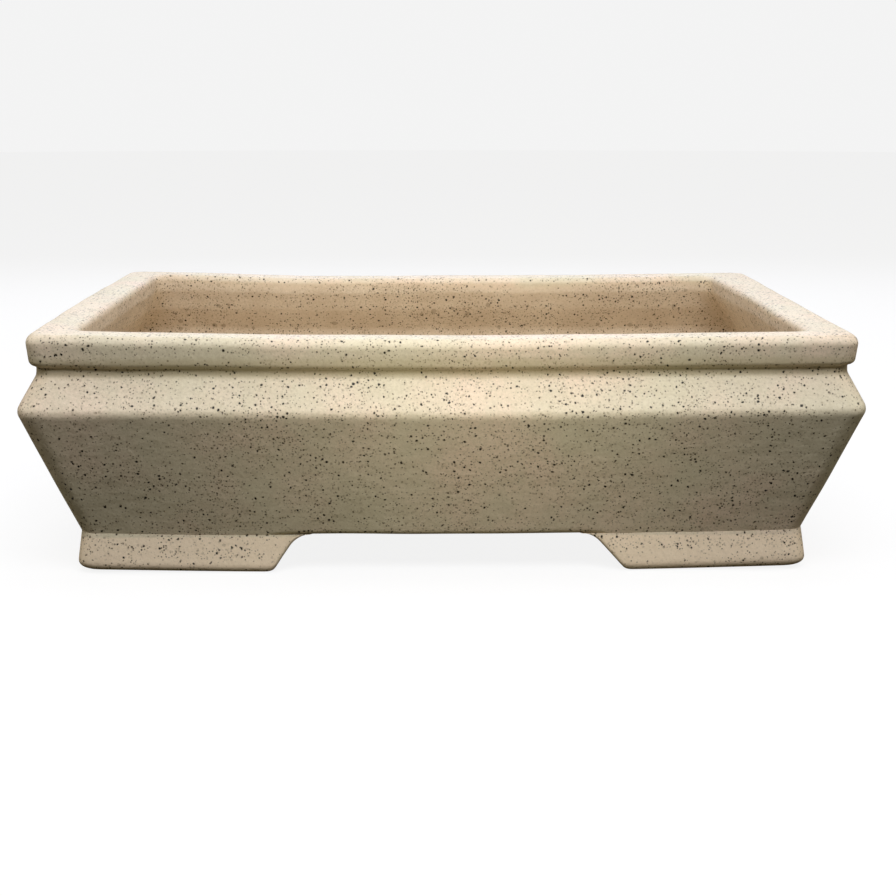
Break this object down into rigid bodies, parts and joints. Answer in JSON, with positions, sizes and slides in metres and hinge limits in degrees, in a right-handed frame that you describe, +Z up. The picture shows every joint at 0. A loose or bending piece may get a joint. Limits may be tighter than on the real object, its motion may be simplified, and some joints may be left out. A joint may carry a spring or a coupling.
{
  "type": "bonsai pot",
  "caption": "Rectangular speckled-glaze stoneware bonsai pot with a thick lip, sharp shoulder, flared wall, corner feet and screened drainage holes.",
  "frame": {"origin": "centre of the pot's box, on the ground under its feet", "axes": "+X along the pot's length, -Y towards its front, +Z up"},
  "size_m": [0.3052, 0.2332, 0.09],
  "materials": {
    "stoneware": "satin",
    "screen_plastic": "matte",
    "clip_wire": "satin"
  },
  "bodies": {
    "root": {"floor_slab": "stoneware", "lower_wall_front": "stoneware", "lower_wall_back": "stoneware", "lower_wall_left": "stoneware", "lower_wall_right": "stoneware", "shoulder_band_front": "stoneware", "shoulder_band_back": "stoneware", "shoulder_band_left": "stoneware", "shoulder_band_right": "stoneware", "rim_front": "stoneware", "rim_back": "stoneware", "rim_left": "stoneware", "rim_right": "stoneware", "foot_front_left": "stoneware", "foot_front_right": "stoneware", "foot_back_left": "stoneware", "foot_back_right": "stoneware", "drain_screen_left": "screen_plastic", "screen_clip_left": "clip_wire", "drain_screen_right": "screen_plastic", "screen_clip_right": "clip_wire"}
  },
  "joints": []
}
